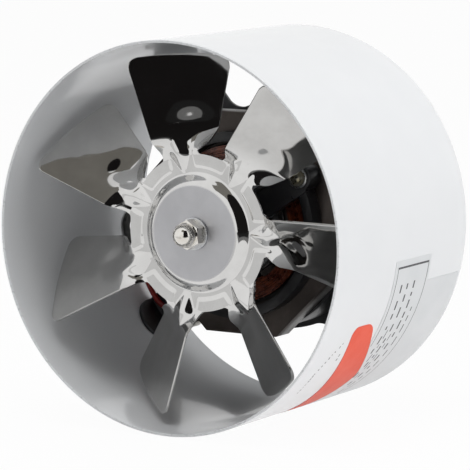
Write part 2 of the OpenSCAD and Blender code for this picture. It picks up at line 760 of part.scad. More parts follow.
// One blade with its neck and rib, centre line along +X
module blade() {
  n = len(along_neck) + len(along_blade);
  m = len(across);
  front = [for (i = [0:n - 1], j = [0:m - 1]) lift(sheet_uv(i, j), 1)];
  back = [for (i = [0:n - 1], j = [0:m - 1]) lift(sheet_uv(i, j), -1)];
  k = n * m;
  polyhedron(concat(front, back), concat(
    [for (i = [0:n - 2], j = [0:m - 2], f = [0, 1]) let (a = i * m + j)
      f == 0 ? [a, a + m + 1, a + m] : [a, a + 1, a + m + 1]],
    [for (i = [0:n - 2], j = [0:m - 2], f = [0, 1]) let (a = k + i * m + j)
      f == 0 ? [a, a + m, a + m + 1] : [a, a + m + 1, a + 1]],
    [for (i = [0:n - 2], f = [0, 1]) let (a = i * m)
      f == 0 ? [a, a + m, a + k] : [a + m, a + m + k, a + k]],
    [for (i = [0:n - 2], f = [0, 1]) let (a = i * m + m - 1)
      f == 0 ? [a, a + k, a + m] : [a + m, a + k, a + m + k]],
    [for (j = [0:m - 2], f = [0, 1]) let (a = j)
      f == 0 ? [a, a + k, a + 1] : [a + 1, a + k, a + 1 + k]],
    [for (j = [0:m - 2], f = [0, 1]) let (a = (n - 1) * m + j)
      f == 0 ? [a, a + 1, a + k] : [a + 1, a + 1 + k, a + k]]));
}

// Stamped impeller: raised hub face, coned web and twisted blades from one sheet
module impeller() color([0.78, 0.78, 0.76]) face_front() {
  bore_r = stud_r + fit_gap;
  rotate_extrude() polygon([
    [bore_r, plateau_back], [bore_r, hub_front], [plateau_r, hub_front],
    [plateau_r + hub_bend, hub_front - hub_bend_drop], [base_r - bend_in, web_front + web_bend],
    [base_r, web_front], [web_r, web_edge_front], [web_r, web_edge_front - blade_sheet],
    [base_r, web_back], [base_r - 2 * bend_in, web_back + 2 * web_bend],
    [plateau_r + bend_in, plateau_back - bend_in], [plateau_r - bend_in, plateau_back]]);
  for (i = [0:blade_count - 1]) rotate(blade_start + 360 * i / blade_count) blade();
}

// Flat washer under the cap nut
module nut_washer() color("silver") face_front()
  tube(stud_r + hole_gap, nut_washer_d / 2, hub_front, nut_seat);

// Domed cap nut
module acorn_nut() color("gainsboro") face_front() difference() {
  union() {
    intersection() {
      hexagon(nut_flats, nut_seat, nut_hex_top);
      translate([0, 0, nut_seat - past])
        cylinder(r1 = nut_flats * 0.7, r2 = nut_flats * 0.5, h = nut_hex_h + past);
    }
    bar(nut_dome_r, nut_hex_top - past / 2, nut_dome_z);
    translate([0, 0, nut_dome_z]) sphere(nut_dome_r);
  }
  bar(stud_r + fit_gap, nut_seat - past, stud_front + end_play);
}

casing();
cable_grommet();
label_sheet();
label_stripe();
motor_bracket();
rear_bell();
front_bell();
stator_core();
front_insulator();
rear_insulator();
front_winding();
rear_winding();
front_bush();
rear_bush();
front_bush_retainer();
rear_bush_retainer();
through_bolts();
bolt_washers();
bolt_nuts();
lead_wires();
splice_caps();
lead_tie();
shaft();
rotor_core();
rotor_cage();
thrust_washers();
impeller_collar();
impeller();
nut_washer();
acorn_nut();
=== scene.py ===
import math

import bmesh
import bpy
import numpy as np
from mathutils import Matrix, Vector


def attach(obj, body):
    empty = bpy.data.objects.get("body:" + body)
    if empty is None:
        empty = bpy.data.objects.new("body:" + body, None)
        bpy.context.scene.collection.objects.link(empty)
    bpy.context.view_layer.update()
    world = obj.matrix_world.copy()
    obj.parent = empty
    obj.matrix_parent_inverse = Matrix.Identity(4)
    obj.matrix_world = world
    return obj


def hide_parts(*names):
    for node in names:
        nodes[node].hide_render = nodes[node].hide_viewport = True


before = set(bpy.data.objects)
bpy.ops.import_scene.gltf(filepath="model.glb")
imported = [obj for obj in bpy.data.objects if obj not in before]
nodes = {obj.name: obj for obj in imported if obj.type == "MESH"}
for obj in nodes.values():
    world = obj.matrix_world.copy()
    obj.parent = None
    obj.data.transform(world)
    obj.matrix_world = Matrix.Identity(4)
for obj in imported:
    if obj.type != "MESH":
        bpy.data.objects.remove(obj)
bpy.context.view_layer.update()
scene = bpy.context.scene
scene.view_settings.view_transform = "Standard"


# Camera at the photograph's viewing angle, right of the fan axis and a little above it.
# A long lens from a good metre away, so the tube's two rims are nearly parallel ellipses.
CAMERA_AZIMUTH = math.radians(31.272)
CAMERA_ELEVATION = math.radians(7.752)
CAMERA_DISTANCE = 1.197
CAMERA_AIM = (0.000101, -0.003929)
FOCAL_PIXELS = 3118.56
IMAGE_PIXELS = 470
SENSOR_MM = 36.0


def toward(azimuth, elevation):
    """Unit vector from the fan towards that side; azimuth 0 is the impeller's side."""
    flat = math.cos(elevation)
    return Vector((math.sin(azimuth) * flat, -math.cos(azimuth) * flat, math.sin(elevation)))


view_back = toward(CAMERA_AZIMUTH, CAMERA_ELEVATION)
view_right = Vector((math.cos(CAMERA_AZIMUTH), math.sin(CAMERA_AZIMUTH), 0.0))
view_up = view_back.cross(view_right)
lens = bpy.data.cameras.new("studio_camera")
lens.sensor_width = SENSOR_MM
lens.lens = FOCAL_PIXELS / IMAGE_PIXELS * SENSOR_MM
lens.clip_start = 0.05
lens.clip_end = 20.0
camera = bpy.data.objects.new("studio_camera", lens)
scene.collection.objects.link(camera)
camera.matrix_world = Matrix((view_right, view_up, view_back)).transposed().to_4x4()
camera.location = view_back * CAMERA_DISTANCE + view_right * CAMERA_AIM[0] + view_up * CAMERA_AIM[1]
scene.camera = camera


# Studio: a pale floor under the tube and white surroundings. Cards that only mirrors show stand
# for the dark end of the room behind the camera, the dim room behind the fan, the ceiling and
# patches of the floor, because the polished blades and the hub mirror them.
class Wire:
    """A shader socket. Sums and products of wires add Math nodes; add() makes any other node."""

    def __init__(self, tree, socket=None):
        self.tree = tree
        self.socket = socket

    def add(self, kind, settings=None, sockets=None, out=0):
        node = self.tree.nodes.new(kind)
        for key, value in (settings or {}).items():
            setattr(node, key, value)
        for key, value in (sockets or {}).items():
            if isinstance(value, Wire):
                self.tree.links.new(value.socket, node.inputs[key])
            else:
                node.inputs[key].default_value = value
        return Wire(self.tree, node.outputs[out])

    def maths(self, operation, first, second):
        return self.add("ShaderNodeMath", {"operation": operation}, {0: first, 1: second})

    def __add__(self, other):
        return self.maths("ADD", self, other)

    def __rsub__(self, other):
        return self.maths("SUBTRACT", other, self)

    def __mul__(self, other):
        return self.maths("MULTIPLY", self, other)

    def __truediv__(self, other):
        return self.maths("DIVIDE", self, other)

    def over(self, low, high):
        """0 below low, 1 above high, smooth between."""
        return self.add("ShaderNodeMapRange", {"interpolation_type": "SMOOTHSTEP"},
                        {"Value": self, "From Min": low, "From Max": high})

    def tint(self, first, second):
        """A colour from first, where the wire is 0, to second, where it is 1."""
        colours = {"Factor": self}
        for key, colour in ((6, first), (7, second)):
            colours[key] = colour if isinstance(colour, Wire) else (*colour, 1.0)
        return self.add("ShaderNodeMix", {"data_type": "RGBA"}, colours, out=2)

    def to(self, node, socket):
        self.tree.links.new(self.socket, node.inputs[socket])


def new_finish(name, colour, roughness, metallic=0.0, **sockets):
    """A material with constant values on its shader; returns it, a wire and the shader."""
    material = bpy.data.materials.new(name)
    material.use_nodes = True
    shader = material.node_tree.nodes["Principled BSDF"]
    values = {"Base Color": (*colour, 1.0), "Roughness": roughness, "Metallic": metallic}
    values.update({key.replace("_", " "): value for key, value in sockets.items()})
    for key, value in values.items():
        shader.inputs[key].default_value = value
    return material, Wire(material.node_tree), shader


def showing_rays(wire):
    """1 for the rays that show the background: from the camera, off a mirror or through glass."""
    camera_ray = wire.add("ShaderNodeLightPath")
    kinds = camera_ray.socket.node.outputs
    others = [Wire(wire.tree, kinds[kind]) for kind in ("Is Glossy Ray", "Is Transmission Ray")]
    return (camera_ray + others[0] + others[1]).over(0.0, 1.0)


UP = (0, 0, 1)
WHITE = (1.0, 1.0, 1.0, 1.0)
FLOOR_DROP = -0.0745
FLOOR_SIZE = 6.0
WHITE_SHARE = 0.96
ROOM_LIGHT = 0.22
room = bpy.data.worlds.new("studio_room")
room.use_nodes = True
scene.world = room
room_shader = room.node_tree.nodes["Background"]
room_shader.inputs["Color"].default_value = WHITE
(showing_rays(Wire(room.node_tree)) * (1.0 - ROOM_LIGHT) + ROOM_LIGHT).to(room_shader, "Strength")


def stage_card(name, centre, facing, width, height, material):
    """A flat card of the studio, turned to face a direction."""
    mesh = bpy.data.meshes.new(name)
    x, y = width / 2, height / 2
    corners = [(-x, -y, 0), (x, -y, 0), (x, y, 0), (-x, y, 0)]
    turn = Vector(facing).to_track_quat("Z", "Y")
    mesh.from_pydata([tuple(Vector(centre) + turn @ Vector(c)) for c in corners], [], [(0, 1, 2, 3)])
    card = bpy.data.objects.new(name, mesh)
    card.data.materials.append(material)
    scene.collection.objects.link(card)
    return card


floor_paint, floor_wire, floor_shader = new_finish("pale_floor", (0.86, 0.86, 0.86), 0.6)
glow = floor_wire.add("ShaderNodeEmission", None, {"Color": WHITE, "Strength": 1.0})
shown = floor_wire.add("ShaderNodeMixShader", None, {
    0: showing_rays(floor_wire) * WHITE_SHARE,
    1: Wire(floor_paint.node_tree, floor_shader.outputs[0]), 2: glow})
shown.to(floor_paint.node_tree.nodes["Material Output"], "Surface")
stage_card("studio_floor", (0, 0, FLOOR_DROP), UP, FLOOR_SIZE, FLOOR_SIZE, floor_paint)


def glowing(name, colour):
    """Paint of a studio card that shows one even tone."""
    material, wire, _ = new_finish(name, (0.0, 0.0, 0.0), 1.0)
    wire.add("ShaderNodeEmission", None, {"Color": (*colour, 1.0)}).to(
        material.node_tree.nodes["Material Output"], "Surface")
    return material


def wall_card(name, azimuth, distance, width, low, high, colour):
    """An upright card of the room, from one height to another."""
    side = toward(math.radians(azimuth), 0.0)
    centre = side * distance + Vector((0, 0, (low + high) / 2))
    return stage_card(name, centre, -side, width, high - low, glowing(name, colour))


CEILING_SIDE = toward(math.radians(8.0), math.radians(50.5))
CEILING_DISTANCE = 1.7
in_mirrors = [
    wall_card("dark_room_end", azimuth=42.0, distance=1.5, width=1.2, low=FLOOR_DROP, high=2.2,
              colour=(0.012, 0.011, 0.011)),
    wall_card("dim_room_behind", azimuth=180.0, distance=0.095, width=0.12, low=-0.06, high=0.06,
              colour=(0.03, 0.03, 0.03)),
    stage_card("grey_ceiling", CEILING_SIDE * CEILING_DISTANCE, -CEILING_SIDE, width=0.7, height=0.62,
               material=glowing("grey_ceiling", (0.22, 0.21, 0.19)))]
for name, azimuth, reach, lift, size, tone in (
        ("pale_floor_left", -30.0, 0.58, 0.0005, 0.6, 0.76),
        ("grey_floor_front", 40.9, 1.0, 0.0005, 1.0, 0.2),
        ("dark_floor_front", 40.9, 1.2, 0.001, 1.0, 0.02)):
    middle = toward(math.radians(azimuth), 0.0) * reach + Vector((0, 0, FLOOR_DROP + lift))
    in_mirrors.append(stage_card(name, middle, UP, size, size, glowing(name, (tone, tone, tone))))
for card in in_mirrors:
    card.visible_camera = False
    card.visible_diffuse = False
    card.visible_shadow = False


def soft_lamp(name, location, facing, size, power):
    """A square soft light, which the camera and the mirrors don't show."""
    light = bpy.data.lights.new(name, "AREA")
    light.shape = "SQUARE"
    light.size = size
    light.energy = power
    lamp = bpy.data.objects.new(name, light)
    lamp.location = location
    lamp.rotation_euler = Vector(facing).to_track_quat("-Z", "Y").to_euler()
    lamp.visible_glossy = False
    lamp.visible_camera = False
    scene.collection.objects.link(lamp)


LAMP_DISTANCE = 1.4
LAMP_SIZE = 1.0
for name, azimuth, elevation, power in (
        ("right_softbox", 100.0, 8.0, 11.0),
        ("top_softbox", 60.0, 82.0, 7.8),
        ("front_softbox", -25.0, 62.0, 3.9)):
    side = toward(math.radians(azimuth), math.radians(elevation))
    soft_lamp(name, side * LAMP_DISTANCE, -side, LAMP_SIZE, power)
soft_lamp("floor_fill", (0.08, -0.22, FLOOR_DROP + 0.002), UP, size=0.3, power=0.07)


# Casing: a tube rolled from 1 mm steel sheet and powder-coated white inside and out, which
# rounds its cut edges. The motor's bracket is spot-welded in, and a punched hole near the motor
# end takes the bush of the cord.
MM = 0.001
FAN_AXIS = np.array([0, 0, 1.0])
CASING_R = 74.0
CASING_WALL = 1.0
CASING_HALF = 50.0
ENTRY_ANGLE = 188.0
ENTRY_HEIGHT = -38.0
ENTRY_R = 5.05
EDGE_EASE = 0.3
EDGE_WEAR = 0.8


def in_frame(points):
    """Points drawn in mm with x right, y up and z to the front, in the fan's own frame."""
    p = np.asarray(points, float)
    return np.stack([p[:, 0], -p[:, 2], p[:, 1]], 1) * MM


def piece_from(name, points, faces, material, sharp=40.0):
    """A piece of points drawn in mm, faces outward, smooth except along edges over the angle."""
    mesh = bpy.data.meshes.new(name)
    mesh.from_pydata([tuple(p) for p in in_frame(points)], [], [tuple(f) for f in faces])
    work = bmesh.new()
    work.from_mesh(mesh)
    bmesh.ops.remove_doubles(work, verts=work.verts, dist=1e-7)
    bmesh.ops.recalc_face_normals(work, faces=work.faces)
    work.to_mesh(mesh)
    work.free()
    mesh.shade_smooth()
    mesh.set_sharp_from_angle(angle=math.radians(sharp))
    mesh.materials.append(material)
    piece = bpy.data.objects.new(name, mesh)
    scene.collection.objects.link(piece)
    return piece


def fit_piece(piece, body, slot, *replaced):
    """Puts the piece on its body, in place of the CAD nodes named; the slot is not used."""
    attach(piece, body)
    if replaced:
        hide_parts(*replaced)


def eased(outline, radius, steps=4):
    """The closed outline with each corner rounded by up to the radius."""
    p = [np.array(q, float) for q in outline]
    rounded = []
    for i, corner in enumerate(p):
        before, after = p[i - 1] - corner, p[(i + 1) % len(p)] - corner
        reach = min(radius, 0.45 * np.linalg.norm(before), 0.45 * np.linalg.norm(after))
        start = corner + before / np.linalg.norm(before) * reach
        end = corner + after / np.linalg.norm(after) * reach
        for s in np.linspace(0, 1, steps + 1):
            rounded.append((1 - s) ** 2 * start + 2 * s * (1 - s) * corner + s * s * end)
    return rounded


def turned(outline, around=192):
    """Points and faces of a closed outline of (radius, height) turned about the fan axis."""
    n = len(outline)
    angles = np.arange(around) * 2 * math.pi / around
    points = [(r * math.cos(a), r * math.sin(a), z) for a in angles for r, z in outline]
    faces = [(k * n + i, k * n + (i + 1) % n, (k + 1) % around * n + (i + 1) % n, (k + 1) % around * n + i)
             for k in range(around) for i in range(n)]
    return points, faces


def ring_faces(rings, sides):
    """Faces between rings of points that follow one another."""
    return [(i * sides + j, i * sides + (j + 1) % sides,
             (i + 1) * sides + (j + 1) % sides, (i + 1) * sides + j)
            for i in range(rings - 1) for j in range(sides)]


def place(wire):
    """Object coordinates in millimetres."""
    spot = wire.add("ShaderNodeTexCoord", out=3)
    return wire.add("ShaderNodeVectorMath", {"operation": "SCALE"}, {0: spot, "Scale": 1 / MM})


def about_axis(wire, spot):
    """Place along the fan axis, towards the motor, and distance from it."""
    split = wire.add("ShaderNodeSeparateXYZ", None, {0: spot})
    x, y, z = (Wire(wire.tree, o) for o in split.socket.node.outputs)
    return y, wire.add("ShaderNodeMath", {"operation": "SQRT"}, {0: x * x + z * z})


def noise(wire, spot, scale, detail=3.0, rough=0.5):
    return wire.add("ShaderNodeTexNoise", None,
                    {"Vector": spot, "Scale": scale, "Detail": detail, "Roughness": rough})


def bump(wire, height, strength, distance, shader):
    wire.add("ShaderNodeBump", None, {
        "Height": height, "Strength": strength, "Distance": distance}).to(shader, "Normal")


white_paint, wire, shader = new_finish("white_powder_coat", (0.845, 0.86, 0.875), 0.3,
                                       Coat_Weight=0.4, Coat_Roughness=0.06)
spot = place(wire)
along_axis, _ = about_axis(wire, spot)
haze = noise(wire, spot, 0.045, 2.0)
near_rim = (along_axis * along_axis).over((CASING_HALF - EDGE_WEAR) ** 2, CASING_HALF ** 2)
edge_wear = near_rim * noise(wire, spot, 0.9, 4.0).over(0.52, 0.7)
cloud = haze.tint((0.825, 0.84, 0.86), (0.86, 0.872, 0.885))
(edge_wear * 0.6).tint(cloud, (0.55, 0.56, 0.57)).to(shader, "Base Color")
(noise(wire, spot, 0.05, 2.0) * 0.06 + 0.2).to(shader, "Roughness")
bump(wire, noise(wire, spot, 0.06, 1.0), 0.08, 0.001, shader)


def with_rows(outline, pitch):
    """The outline with its long straight runs divided."""
    rows = []
    for i, p in enumerate(outline):
        step = outline[(i + 1) % len(outline)] - p
        count = max(1, int(np.linalg.norm(step) / pitch))
        rows += [p + step * k / count for k in range(count)]
    return rows


def made_plain(piece, material, sharp=32.0):
    """Turns the piece and its modifiers into a plain mesh of one material."""
    graph = bpy.context.evaluated_depsgraph_get()
    mesh = bpy.data.meshes.new_from_object(piece.evaluated_get(graph))
    piece.modifiers.clear()
    piece.data = mesh
    work = bmesh.new()
    work.from_mesh(mesh)
    bmesh.ops.recalc_face_normals(work, faces=work.faces)
    work.to_mesh(mesh)
    work.free()
    mesh.materials.clear()
    mesh.materials.append(material)
    mesh.shade_smooth()
    mesh.set_sharp_from_angle(angle=math.radians(sharp))


def wall_hole(piece, angle, height, radius, material, sides=96):
    """Cuts a round hole through the tube's wall, square to it."""
    out = np.array([math.cos(math.radians(angle)), math.sin(math.radians(angle)), 0.0])
    across = np.cross(FAN_AXIS, out)
    around = (np.arange(sides) * 2 * math.pi / sides)[:, None]
    ring = FAN_AXIS * height + radius * (np.cos(around) * across + np.sin(around) * FAN_AXIS)
    ends = [ring + out * reach for reach in (CASING_R - 6.0, CASING_R + 5.0)]
    faces = ring_faces(2, sides) + [tuple(reversed(range(sides))), tuple(range(sides, 2 * sides))]
    punch = piece_from("hole_punch", np.concatenate(ends), faces, material)
    cut = piece.modifiers.new("wall_hole", "BOOLEAN")
    cut.operation = "DIFFERENCE"
    cut.solver = "EXACT"
    cut.object = punch
    made_plain(piece, material, 40.0)
    bpy.data.objects.remove(punch)


CASING_INSIDE = CASING_R - CASING_WALL
casing_outline = with_rows(eased([
    (CASING_INSIDE, -CASING_HALF), (CASING_R, -CASING_HALF),
    (CASING_R, CASING_HALF), (CASING_INSIDE, CASING_HALF)], EDGE_EASE), pitch=4.0)
casing_piece = piece_from("casing_tube", *turned(casing_outline, 256), white_paint)
wall_hole(casing_piece, ENTRY_ANGLE, ENTRY_HEIGHT, ENTRY_R, white_paint)
fit_piece(casing_piece, "stator", "casing", "casing")


# Motor bracket: a disc with four legs, blanked from 1.5 mm steel, the feet bent forward and
# spot-welded to the tube's inside. It is sprayed satin black with the motor.
def softened(node, name, width, material, angle=32.0, segments=2):
    """A piece like the CAD node, with its hard edges eased by the width in mm."""
    mesh = nodes[node].data.copy()
    mesh.name = name
    work = bmesh.new()
    work.from_mesh(mesh)
    bmesh.ops.remove_doubles(work, verts=work.verts, dist=2e-6)
    bmesh.ops.dissolve_limit(work, angle_limit=math.radians(0.5), verts=work.verts, edges=work.edges)
    work.to_mesh(mesh)
    work.free()
    piece = bpy.data.objects.new(name, mesh)
    scene.collection.objects.link(piece)
    ease = piece.modifiers.new("eased_edges", "BEVEL")
    ease.width = width * MM
    ease.segments = segments
    ease.limit_method = "ANGLE"
    ease.angle_limit = math.radians(angle)
    ease.use_clamp_overlap = True
    made_plain(piece, material, angle)
    return piece


black_paint, wire, shader = new_finish("satin_black_paint", (0.018, 0.018, 0.02), 0.42,
                                       Coat_Weight=0.15, Coat_Roughness=0.3)
spot = place(wire)
dust = noise(wire, spot, 0.12, 4.0, 0.6)
dust.over(0.42, 0.78).tint((0.014, 0.014, 0.016), (0.035, 0.034, 0.034)).to(shader, "Base Color")
(noise(wire, spot, 0.5, 3.0) * 0.3 + 0.28).to(shader, "Roughness")
bump(wire, noise(wire, spot, 1.6, 2.0), 0.18, 0.0003, shader)

bracket_piece = softened("motor_bracket", "bracket_plate", 0.35, black_paint)
fit_piece(bracket_piece, "stator", "motor_black", "motor_bracket")


# Rear cup: the motor's deep-drawn steel back half, clamped between the stack and the bracket.
# Its boss holds the rear bush and comes through the bracket's middle.
cup_piece = softened("rear_bell", "motor_cup", 0.6, black_paint, segments=3)
fit_piece(cup_piece, "stator", "motor_black", "rear_bell")


# Stator: a stack of half-millimetre electrical sheets, octagonal outside, riveted together and
# dipped in varnish, which runs brown over the face and wears off the sheets' edges.
SHEET_PITCH = 0.5
STACK_RIM = (39.5, 41.0)
BEHIND_FACE = (6.0, 10.0)
varnished, wire, shader = new_finish("varnished_laminations", (0.3, 0.26, 0.23), 0.45, 0.6)
spot = place(wire)
along_axis, radius = about_axis(wire, spot)
sheet_wave = wire.add("ShaderNodeMath", {"operation": "FRACT"}, {0: along_axis / SHEET_PITCH})
seam = 1.0 - (sheet_wave * (1.0 - sheet_wave) * 4.0).over(0.05, 0.5)
outside = radius.over(*STACK_RIM) * along_axis.over(*BEHIND_FACE)
stain = noise(wire, spot, 0.16, 4.0, 0.6)
face = stain.over(0.35, 0.7).tint((0.07, 0.052, 0.042), (0.14, 0.115, 0.1))
bare = stain.over(0.3, 0.75).tint((0.4, 0.39, 0.38), (0.28, 0.27, 0.26))
body_tone = outside.tint(face, bare)
(seam * 0.65).tint(body_tone, (0.07, 0.06, 0.055)).to(shader, "Base Color")
(stain * 0.3 + 0.3).to(shader, "Roughness")
bump(wire, 1.0 - seam, 0.5, 0.0002, shader)
stack_piece = softened("stator_core", "lamination_stack", 0.12, varnished)
fit_piece(stack_piece, "stator", "lamination", "stator_core")


# Coil ends: enamelled copper wires wound in loops over the stack's face, spiralling in on the
# lower layer and out on the upper one, dipped in red-brown varnish.
STACK_FRONT = -4.5
STACK_GAP = 0.35
STRAND_R = 0.9
LOOP_PITCH = 2.3
LOOP_OUT = 30.0
LOOPS = 4
WIRE_R = 0.36
WIRES = 6
LAY_TWIST = 0.11
FILLER_HEIGHT = 0.3
TURN_STEPS = 72


def coil_centre():
    """Centre line of the strand bundle, as the CAD solid has it."""
    low = STACK_FRONT + STACK_GAP + STRAND_R
    run = TURN_STEPS * (LOOPS - 1)
    climb = TURN_STEPS // 2
    inner = LOOP_OUT - (LOOPS - 1) * LOOP_PITCH
    line = []
    for i in range(2 * run + climb + 1):
        if i <= run:
            r, h = LOOP_OUT - LOOP_PITCH * i / TURN_STEPS, 0.0
        elif i < run + climb:
            k = i - run
            t = k / climb
            r, h = inner - LOOP_PITCH * min(k, climb - k) / TURN_STEPS, t * t * (3 - 2 * t)
        else:
            r, h = inner + LOOP_PITCH * (i - run - climb) / TURN_STEPS, 1.0
        a = 2 * math.pi * i / TURN_STEPS
        line.append((r * math.cos(a), r * math.sin(a), low + LOOP_PITCH * h))
    return np.array(line)


def tube_along(path, radius, sides=8):
    """Points and faces of a round tube along a path, closed at both ends."""
    along = np.gradient(path, axis=0)
    along /= np.linalg.norm(along, axis=1)[:, None]
    across = np.cross(along, FAN_AXIS)
    across /= np.linalg.norm(across, axis=1)[:, None]
    third = np.cross(along, across)
    angles = np.arange(sides) * 2 * math.pi / sides
    ring = across[:, None] * np.cos(angles)[None, :, None] + third[:, None] * np.sin(angles)[None, :, None]
    points = (path[:, None] + ring * radius).reshape(-1, 3)
    last = (len(path) - 1) * sides
    ends = [tuple(range(sides)), tuple(last + j for j in reversed(range(sides)))]
    return points, ring_faces(len(path), sides) + ends


def joined(parts):
    """Several (points, faces) as one."""
    points, faces, offset = [], [], 0
    for p, f in parts:
        points.append(np.asarray(p))
        faces += [tuple(i + offset for i in face) for face in f]
        offset += len(p)
    return np.concatenate(points), faces


enamel, wire, shader = new_finish("red_brown_enamel", (0.26, 0.05, 0.018), 0.3, 0.35,
                                  Coat_Weight=0.6, Coat_Roughness=0.15)
spot = place(wire)
drip = noise(wire, spot, 0.35, 3.0)
drip.over(0.3, 0.72).tint((0.1, 0.018, 0.009), (0.27, 0.062, 0.021)).to(shader, "Base Color")
(drip * 0.3 + 0.15).to(shader, "Roughness")
bump(wire, noise(wire, spot, 2.2, 2.0), 0.1, 0.0002, shader)
bundle = coil_centre()
outward = bundle * np.array([1, 1, 0])
outward /= np.linalg.norm(outward, axis=1)[:, None]
strands = []
for k in range(WIRES):
    twist = (2 * math.pi * k / WIRES + np.arange(len(bundle)) * LAY_TWIST)[:, None]
    lay = (STRAND_R - WIRE_R) * (outward * np.cos(twist) + FAN_AXIS * np.sin(twist))
    strands.append(tube_along(bundle + lay, WIRE_R, 6))
reach = np.linalg.norm(bundle[:, :2], axis=1)[:, None]
between = np.minimum(LOOP_PITCH / 2, LOOP_OUT + STRAND_R - WIRE_R - reach)
for height in (-FILLER_HEIGHT, FILLER_HEIGHT):
    strands.append(tube_along(bundle + outward * between + FAN_AXIS * height, WIRE_R, 6))
coil_piece = piece_from("front_coil", *joined(strands), enamel, 60.0)
fit_piece(coil_piece, "stator", "copper", "front_winding")


# Front end frame: a black die casting with a ring on the stack, two ribbed arms and the boss
# of the front bush. Two long screws with flat washers clamp the motor together.
frame_piece = softened("front_bell", "end_frame", 0.45, black_paint, segments=3)
fit_piece(frame_piece, "stator", "motor_black", "front_bell")

BOLT_CIRCLE = 36.5
BOLT_ANGLE = 34.0
BOLT_SEAT = 3.8
BOLT_R = 2.0
BOLT_END = -40.9
WASHER_T = 0.8
WASHER_OUT = 4.0
WASHER_PLAY = 0.15
HEAD_SEAT = BOLT_SEAT + WASHER_T
HEAD_R = 3.4
HEAD_H = 2.4
HEAD_EDGE = 0.14
DOME_POWER = 2.6
CROSS_HALF = (0.34, 0.5)
CROSS_REACH = (1.5, 1.9)
CROSS_DEPTH = 1.15
CROSS_TAPER = 0.35
SCREW_SIDES = 64


def polar_cap(rim, rings, around, height):
    """Points and faces of a round cap: height(x, y) over rings of growing radius."""
    points = [(0.0, 0.0, height(0.0, 0.0))]
    for r in np.linspace(0, rim, rings + 1)[1:]:
        for a in np.arange(around) * 2 * math.pi / around:
            cx, cy = r * math.cos(a), r * math.sin(a)
            points.append((cx, cy, height(cx, cy)))
    faces = [(0, 1 + j, 1 + (j + 1) % around) for j in range(around)]
    for i in range(rings - 1):
        a, b = 1 + i * around, 1 + (i + 1) * around
        faces += [(a + j, b + j, b + (j + 1) % around, a + (j + 1) % around) for j in range(around)]
    return points, faces


def ramp(low, high, value):
    """0 below low, 1 above high, smooth between."""
    t = np.clip((value - low) / (high - low), 0.0, 1.0)
    return t * t * (3 - 2 * t)


def screw_top(cx, cy):
    """Domed head with a cross recess."""
    r = math.hypot(cx, cy)
    round_off = max(0.0, 1 - (r / HEAD_R) ** DOME_POWER)
    dome = HEAD_H * math.sqrt(round_off * (1 - HEAD_EDGE) + HEAD_EDGE)
    arm = 1 - ramp(*CROSS_HALF, min(abs(cx), abs(cy)))
    reach = 1 - ramp(*CROSS_REACH, max(abs(cx), abs(cy)))
    return HEAD_SEAT + dome - CROSS_DEPTH * arm * reach * (1 - CROSS_TAPER * r / HEAD_R)


def screw_parts():
    """One motor screw drawn on its own axis: head, shank and tail."""
    top = polar_cap(HEAD_R, 26, SCREW_SIDES, screw_top)
    under = HEAD_SEAT + 0.02
    side = [(HEAD_R, screw_top(HEAD_R, 0)), (HEAD_R, HEAD_SEAT + 0.25), (HEAD_R - 0.2, under),
            (BOLT_R, under), (BOLT_R, BOLT_END + 0.3), (BOLT_R - 0.5, BOLT_END), (0.001, BOLT_END)]
    angles = np.arange(SCREW_SIDES) * 2 * math.pi / SCREW_SIDES
    points = [(r * math.cos(a), r * math.sin(a), h) for r, h in side for a in angles]
    return joined([top, (points, ring_faces(len(side), SCREW_SIDES))])


def ring_tree(name, material):
    """Geometry Nodes: copies the piece about the fan axis at even steps and joins them."""
    tree = bpy.data.node_groups.new(name, "GeometryNodeTree")
    face = tree.interface
    face.new_socket("Geometry", in_out="INPUT", socket_type="NodeSocketGeometry")
    face.new_socket("Copies", in_out="INPUT", socket_type="NodeSocketInt")
    face.new_socket("Start Angle", in_out="INPUT", socket_type="NodeSocketFloat")
    face.new_socket("Geometry", in_out="OUTPUT", socket_type="NodeSocketGeometry")
    wire = Wire(tree)
    entry = wire.add("NodeGroupInput").socket.node
    shape, copies, start = (Wire(tree, s) for s in entry.outputs[:3])
    spots = wire.add("GeometryNodeMeshLine", {"mode": "OFFSET"}, {"Count": copies, "Offset": (0, 0, 0)})
    turn = wire.add("GeometryNodeInputIndex") * (2 * math.pi) / copies + start
    spin = wire.add("ShaderNodeCombineXYZ", None, {"Y": turn * -1.0})
    held = wire.add("GeometryNodeInstanceOnPoints", None, {
        "Points": spots, "Instance": shape, "Rotation": spin})
    solid = wire.add("GeometryNodeRealizeInstances", None, {"Geometry": held})
    welded = wire.add("GeometryNodeMergeByDistance", None, {"Geometry": solid, "Distance": 2e-6})
    painted = wire.add("GeometryNodeSetMaterial", None, {"Geometry": welded, "Material": material})
    leave = tree.nodes.new("NodeGroupOutput")
    tree.links.new(painted.socket, leave.inputs[0])
    return tree


def ring_of(piece, tree, copies, start_degrees):
    """Adds the ring tree to the piece, with its inputs set by their identifiers."""
    repeat = piece.modifiers.new("ring_of_copies", "NODES")
    repeat.node_group = tree
    keys = {item.name: item.identifier for item in tree.interface.items_tree if item.in_out == "INPUT"}
    repeat[keys["Copies"]] = copies
    repeat[keys["Start Angle"]] = math.radians(start_degrees)


def on_bolts(name, points, faces, material, slot, node, sharp=35.0):
    """A small part drawn about its own axis, copied to both motor screws."""
    moved = np.asarray(points, float) + np.array([BOLT_CIRCLE, 0, 0])
    part = piece_from(name, moved, faces, material, sharp)
    ring_of(part, ring_tree(name + "_ring", material), 2, BOLT_ANGLE)
    made_plain(part, material, sharp)
    fit_piece(part, "stator", slot, node)


def mottled(name, colour, roughness, metallic, grain, tones, wear, **sockets):
    """A finish that drifts between two tones; wear is a noise, its least roughness and its spread."""
    material, wire, shader = new_finish(name, colour, roughness, metallic, **sockets)
    spot = place(wire)
    noise(wire, spot, *grain).over(0.3, 0.7).tint(*tones).to(shader, "Base Color")
    scale, detail, least, spread = wear
    (noise(wire, spot, scale, detail) * spread + least).to(shader, "Roughness")
    return material


